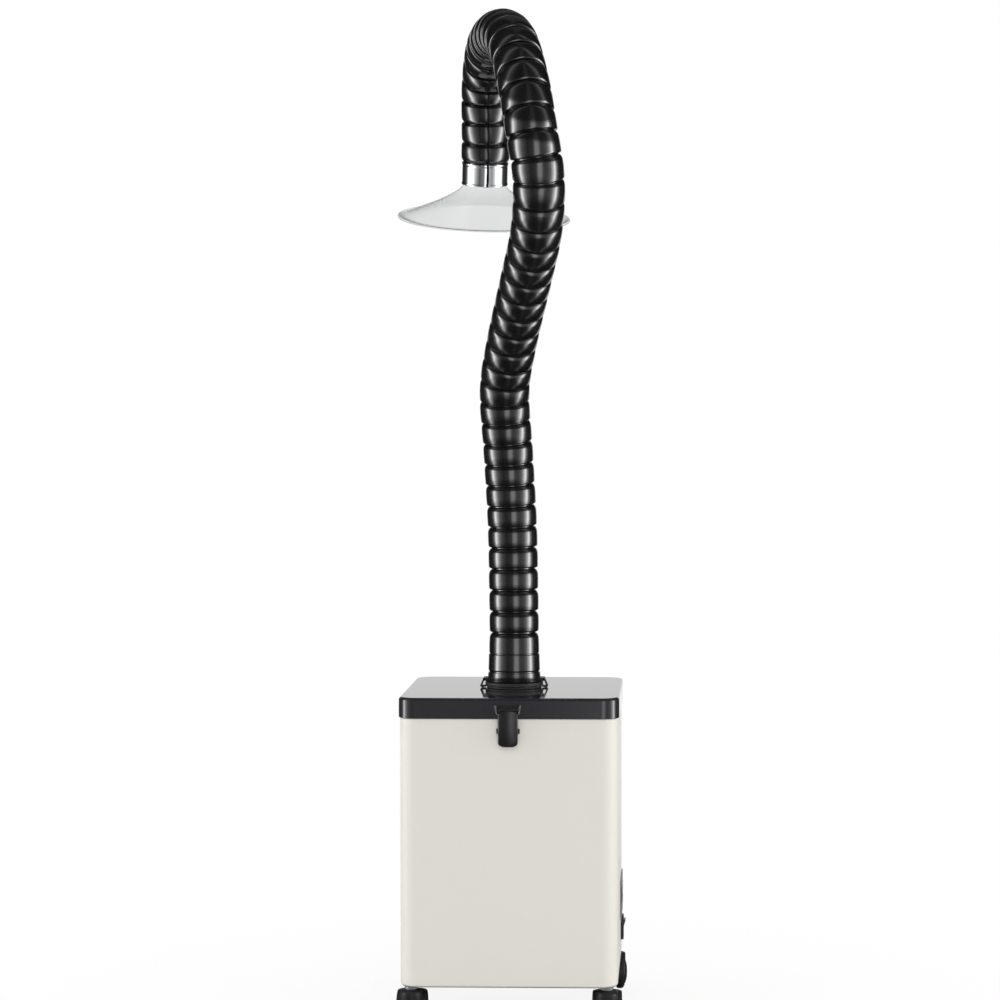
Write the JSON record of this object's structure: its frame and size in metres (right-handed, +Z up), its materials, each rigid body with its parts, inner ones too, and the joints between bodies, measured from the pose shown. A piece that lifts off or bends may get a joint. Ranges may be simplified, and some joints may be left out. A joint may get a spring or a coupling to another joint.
{
  "type": "fume extraction arm",
  "caption": "Floor-standing fume extractor: white filter cabinet on casters, hinged black lid, bendable black hose and clear hood.",
  "frame": {"origin": "middle of the raised pad under the cabinet's base tray", "axes": "+Z up, the front with the latch towards -Y, +X to the right seen from the front"},
  "size_m": [0.3321, 0.4961, 1.4099],
  "materials": {
    "white_paint": "satin",
    "gloss_black": "gloss",
    "hose_black": "satin",
    "matt_black": "matte",
    "chrome": "polished",
    "steel": "satin",
    "aluminium": "satin",
    "clear_hood": "gloss",
    "rubber": "matte",
    "grey_plate": "satin",
    "filter_white": "matte",
    "carbon_grey": "matte",
    "board_green": "satin"
  },
  "bodies": {
    "cabinet": {"cabinet_shell": "white_paint", "base_tray": "white_paint", "lid_seal": "rubber", "fan_deck": "steel", "carbon_filter": "carbon_grey", "hepa_filter": "filter_white", "pre_filter": "filter_white", "fan_motor": "aluminium", "motor_bracket": "steel", "control_plate": "grey_plate", "control_board": "board_green", "switch_housing": "matt_black", "mains_inlet": "matt_black", "exhaust_grille": "matt_black", "latch_keeper": "matt_black", "hinge_leaf_cabinet": "steel", "hinge_pin": "steel", "caster_stem_fl": "steel", "caster_stem_fr": "steel", "caster_stem_rl": "steel", "caster_stem_rr": "steel"},
    "impeller": {"impeller": "matt_black"},
    "rocker": {"power_rocker": "gloss_black"},
    "lid": {"lid": "gloss_black", "inlet_flange": "matt_black", "hinge_leaf_lid": "steel", "latch_bracket": "matt_black", "latch_pin": "steel"},
    "latch": {"latch_lever": "matt_black"},
    "arm_base": {"hose_cuff": "hose_black"},
    "clip_left": {"clip_left": "matt_black"},
    "clip_right": {"clip_right": "matt_black"},
    "hose_01": {"hose_section_01": "hose_black"},
    "hose_02": {"hose_section_02": "hose_black"},
    "hose_03": {"hose_section_03": "hose_black"},
    "hose_04": {"hose_section_04": "hose_black"},
    "hose_05": {"hose_section_05": "hose_black"},
    "hose_06": {"hose_section_06": "hose_black"},
    "hose_07": {"hose_section_07": "hose_black"},
    "hose_08": {"hose_section_08": "hose_black"},
    "hose_09": {"hose_section_09": "hose_black"},
    "hose_10": {"hose_section_10": "hose_black"},
    "hose_11": {"hose_section_11": "hose_black"},
    "hose_12": {"hose_section_12": "hose_black"},
    "collar": {"hood_collar": "chrome"},
    "hood": {"hood": "clear_hood"},
    "fork_fl": {"caster_fork_fl": "matt_black"},
    "fork_fr": {"caster_fork_fr": "matt_black"},
    "fork_rl": {"caster_fork_rl": "matt_black"},
    "fork_rr": {"caster_fork_rr": "matt_black"},
    "wheels_fl": {"caster_wheels_fl": "rubber"},
    "wheels_fr": {"caster_wheels_fr": "rubber"},
    "wheels_rl": {"caster_wheels_rl": "rubber"},
    "wheels_rr": {"caster_wheels_rr": "rubber"}
  },
  "joints": [
    {"name": "impeller_spin", "type": "hinge", "parent": "cabinet", "child": "impeller", "pos_m": [0, 0, 0.1246], "axis": [0, 0, 1], "continuous": true},
    {"name": "rocker_tilt", "type": "hinge", "parent": "cabinet", "child": "rocker", "pos_m": [0.1515, 0.078, 0.045], "axis": [0, -1, 0], "range_deg": [0, 20]},
    {"name": "lid_hinge", "type": "hinge", "parent": "cabinet", "child": "lid", "pos_m": [0, 0.1563, 0.373], "axis": [-1, 0, 0], "range_deg": [0, 95]},
    {"name": "latch_swing", "type": "hinge", "parent": "lid", "child": "latch", "pos_m": [0, -0.1578, 0.386], "axis": [-1, 0, 0], "range_deg": [0, 110]},
    {"name": "arm_swivel", "type": "hinge", "parent": "lid", "child": "arm_base", "pos_m": [0, 0, 0.4097], "axis": [0, 0, 1], "continuous": true},
    {"name": "clip_left_swing", "type": "hinge", "parent": "arm_base", "child": "clip_left", "pos_m": [-0.0418, 0, 0.4132], "axis": [0, 1, 0], "range_deg": [0, 60]},
    {"name": "clip_right_swing", "type": "hinge", "parent": "arm_base", "child": "clip_right", "pos_m": [0.0418, 0, 0.4132], "axis": [0, -1, 0], "range_deg": [0, 60]},
    {"name": "hose_section_01_bend", "type": "hinge", "parent": "arm_base", "child": "hose_01", "pos_m": [0, 0, 0.48], "axis": [1, 0, 0.0098], "range_deg": [-15, 15]},
    {"name": "hose_section_02_bend", "type": "hinge", "parent": "hose_01", "child": "hose_02", "pos_m": [-0.00248, 0.00003, 0.63043], "axis": [0, 0.9988, 0.048], "range_deg": [-15, 15]},
    {"name": "hose_section_03_bend", "type": "hinge", "parent": "hose_02", "child": "hose_03", "pos_m": [-0.01057, -0.01819, 0.77941], "axis": [-0.9978, 0.0141, -0.065], "range_deg": [-15, 15]},
    {"name": "hose_section_04_bend", "type": "hinge", "parent": "hose_03", "child": "hose_04", "pos_m": [0.00059, -0.06685, 0.88727], "axis": [0, -0.832, -0.5548], "range_deg": [-15, 15]},
    {"name": "hose_section_05_bend", "type": "hinge", "parent": "hose_04", "child": "hose_05", "pos_m": [0.02625, -0.13803, 0.98085], "axis": [0.9767, 0.1379, -0.1647], "range_deg": [-15, 15]},
    {"name": "hose_section_06_bend", "type": "hinge", "parent": "hose_05", "child": "hose_06", "pos_m": [0.04298, -0.19379, 1.04968], "axis": [0, 0.827, 0.5621], "range_deg": [-15, 15]},
    {"name": "hose_section_07_bend", "type": "hinge", "parent": "hose_06", "child": "hose_07", "pos_m": [0.04278, -0.22845, 1.13158], "axis": [-0.9871, 0.0174, -0.1594], "range_deg": [-15, 15]},
    {"name": "hose_section_08_bend", "type": "hinge", "parent": "hose_07", "child": "hose_08", "pos_m": [0.02783, -0.2124, 1.21793], "axis": [0, -0.8928, 0.4504], "range_deg": [-15, 15]},
    {"name": "hose_section_09_bend", "type": "hinge", "parent": "hose_08", "child": "hose_09", "pos_m": [0.00949, -0.15676, 1.2858], "axis": [0.9731, 0.1843, 0.1384], "range_deg": [-15, 15]},
    {"name": "hose_section_10_bend", "type": "hinge", "parent": "hose_09", "child": "hose_10", "pos_m": [-0.01297, -0.07511, 1.31399], "axis": [0, 0.0936, -0.9956], "range_deg": [-15, 15]},
    {"name": "hose_section_11_bend", "type": "hinge", "parent": "hose_10", "child": "hose_11", "pos_m": [-0.03379, 0.01089, 1.30227], "axis": [-0.982, -0.1687, 0.0852], "range_deg": [-15, 15]},
    {"name": "hose_section_12_bend", "type": "hinge", "parent": "hose_11", "child": "hose_12", "pos_m": [-0.04421, 0.06976, 1.23724], "axis": [0, 0.9349, 0.3548], "range_deg": [-15, 15]},
    {"name": "collar_bend", "type": "hinge", "parent": "hose_12", "child": "collar", "pos_m": [-0.0465, 0.0925, 1.15], "axis": [0.9992, 0.0088, -0.0397], "range_deg": [-15, 15]},
    {"name": "hood_spin", "type": "hinge", "parent": "collar", "child": "hood", "pos_m": [-0.0465, 0.0925, 1.15], "axis": [-0.0407, 0.2166, -0.9754], "continuous": true},
    {"name": "caster_swivel_fl", "type": "hinge", "parent": "cabinet", "child": "fork_fl", "pos_m": [-0.135, -0.135, -0.0023], "axis": [0, 0, 1], "continuous": true},
    {"name": "caster_roll_fl", "type": "hinge", "parent": "fork_fl", "child": "wheels_fl", "pos_m": [-0.135, -0.12, -0.035], "axis": [1, 0, 0], "continuous": true},
    {"name": "caster_swivel_fr", "type": "hinge", "parent": "cabinet", "child": "fork_fr", "pos_m": [0.135, -0.135, -0.0023], "axis": [0, 0, 1], "continuous": true},
    {"name": "caster_roll_fr", "type": "hinge", "parent": "fork_fr", "child": "wheels_fr", "pos_m": [0.135, -0.12, -0.035], "axis": [1, 0, 0], "continuous": true},
    {"name": "caster_swivel_rl", "type": "hinge", "parent": "cabinet", "child": "fork_rl", "pos_m": [-0.135, 0.135, -0.0023], "axis": [0, 0, 1], "continuous": true},
    {"name": "caster_roll_rl", "type": "hinge", "parent": "fork_rl", "child": "wheels_rl", "pos_m": [-0.135, 0.15, -0.035], "axis": [1, 0, 0], "continuous": true},
    {"name": "caster_swivel_rr", "type": "hinge", "parent": "cabinet", "child": "fork_rr", "pos_m": [0.135, 0.135, -0.0023], "axis": [0, 0, 1], "continuous": true},
    {"name": "caster_roll_rr", "type": "hinge", "parent": "fork_rr", "child": "wheels_rr", "pos_m": [0.135, 0.15, -0.035], "axis": [1, 0, 0], "continuous": true}
  ]
}
